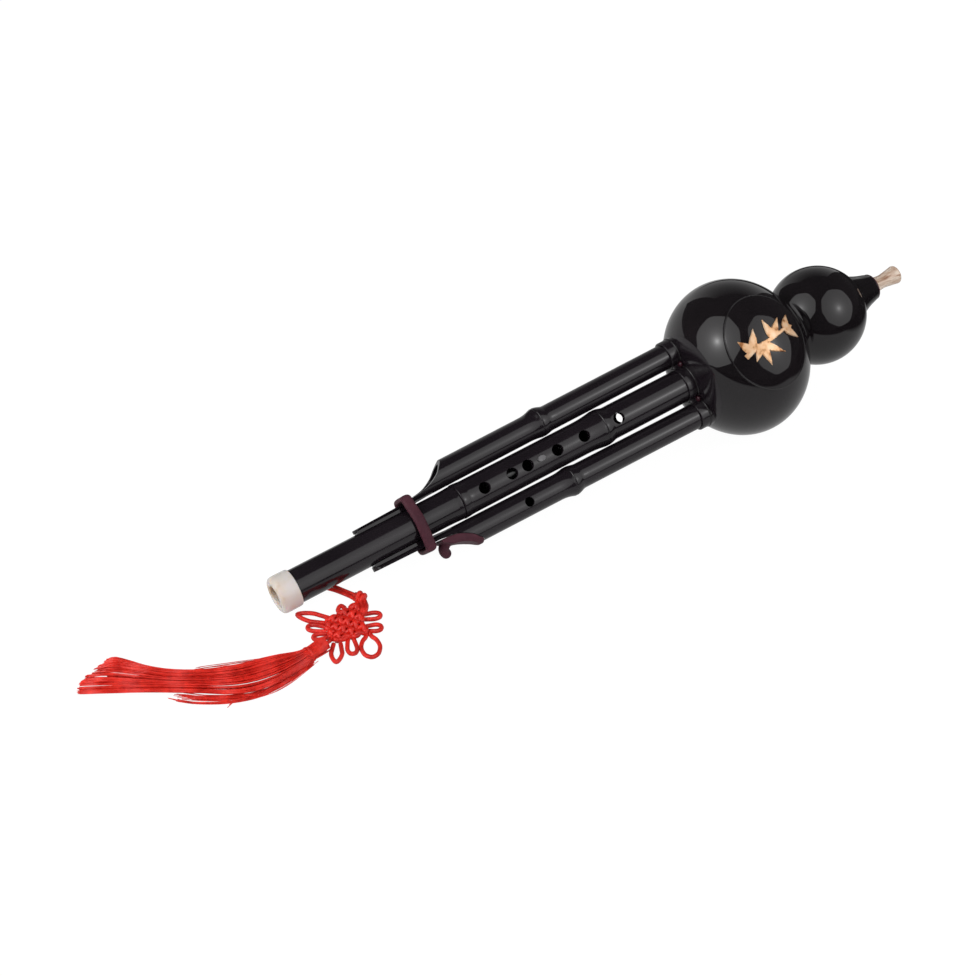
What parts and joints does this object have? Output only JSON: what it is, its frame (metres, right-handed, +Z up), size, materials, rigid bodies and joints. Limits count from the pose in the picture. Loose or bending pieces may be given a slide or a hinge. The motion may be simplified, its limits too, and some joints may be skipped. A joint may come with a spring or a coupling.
{
  "type": "hulusi",
  "caption": "Gourd flute in black resin: a two-bulb wind chamber over a fingered main pipe between two drone pipes, with a red knotted tassel.",
  "frame": {"origin": "under the middle of the flute, on the surface that it lies on", "axes": "+X from the foot ring to the mouthpiece, +Z up, the finger holes face up and towards -Y"},
  "size_m": [0.5137, 0.1025, 0.0894],
  "materials": {
    "black_resin": "polished",
    "white_resin": "polished, faintly marbled",
    "horn": "polished horn-like resin",
    "gold": "gilt",
    "silver": "satin",
    "brass": "rolled",
    "wine_rubber": "satin",
    "seal_rubber": "matt",
    "red_cord": "silky"
  },
  "bodies": {
    "gourd": {"gourd_lower_bulb": "black_resin", "gourd_upper_bulb": "black_resin", "medallion_disc": "black_resin", "gold_ornament": "gold", "mouthpiece_socket": "black_resin"},
    "mouthpiece": {"mouthpiece_tip": "horn", "mouthpiece_seal": "seal_rubber"},
    "pipe_assembly": {"pipe_base": "black_resin", "base_seal": "seal_rubber", "main_pipe_seal": "seal_rubber", "silent_drone_pipe": "black_resin", "silent_drone_plug": "seal_rubber", "silent_drone_seal": "seal_rubber", "sounding_drone_pipe": "black_resin", "sounding_drone_cap": "seal_rubber", "sounding_drone_seal": "seal_rubber", "drone_reed_plate": "brass"},
    "main_pipe": {"main_pipe": "black_resin", "main_pipe_cap": "seal_rubber", "main_reed_plate": "brass", "end_ring": "white_resin", "label_plate": "silver", "cord_strand_left": "red_cord", "cord_strand_right": "red_cord", "button_knot": "red_cord", "endless_knot": "red_cord", "tassel_cap": "red_cord", "tassel_skirt": "red_cord"},
    "main_reed": {"main_reed_tongue": "brass"},
    "drone_reed": {"drone_reed_tongue": "brass"},
    "rubber_ring": {"rubber_ring": "wine_rubber"},
    "drone_stopper": {"drone_stopper": "wine_rubber"}
  },
  "joints": [
    {"name": "mouthpiece_pull", "type": "slide", "parent": "gourd", "child": "mouthpiece", "axis": [0.993, 0, 0.1177], "range_m": [0, 0.012]},
    {"name": "base_pull", "type": "slide", "parent": "gourd", "child": "pipe_assembly", "axis": [-0.993, 0, -0.1177], "range_m": [0, 0.06]},
    {"name": "main_pipe_tuning", "type": "slide", "parent": "pipe_assembly", "child": "main_pipe", "axis": [-0.993, 0, -0.1177], "range_m": [0, 0.008]},
    {"name": "rubber_ring_slide", "type": "slide", "parent": "pipe_assembly", "child": "rubber_ring", "axis": [-0.993, 0, -0.1177], "range_m": [0, 0.02]},
    {"name": "drone_stopper_pull", "type": "slide", "parent": "pipe_assembly", "child": "drone_stopper", "axis": [0.073, -0.7304, -0.6791], "range_m": [0, 0.012]},
    {"name": "main_reed_flex", "type": "hinge", "parent": "main_pipe", "child": "main_reed", "pos_m": [0.0853, -0.00536, 0.04996], "axis": [-0.0804, 0.7304, 0.6783], "range_deg": [-2.5, 2.5], "stiffness_Nm_per_rad": 0.0002},
    {"name": "drone_reed_flex", "type": "hinge", "parent": "pipe_assembly", "child": "drone_reed", "pos_m": [0.08228, -0.01641, 0.03416], "axis": [-0.073, 0.7304, 0.6791], "range_deg": [-2.5, 2.5], "stiffness_Nm_per_rad": 0.0002}
  ]
}
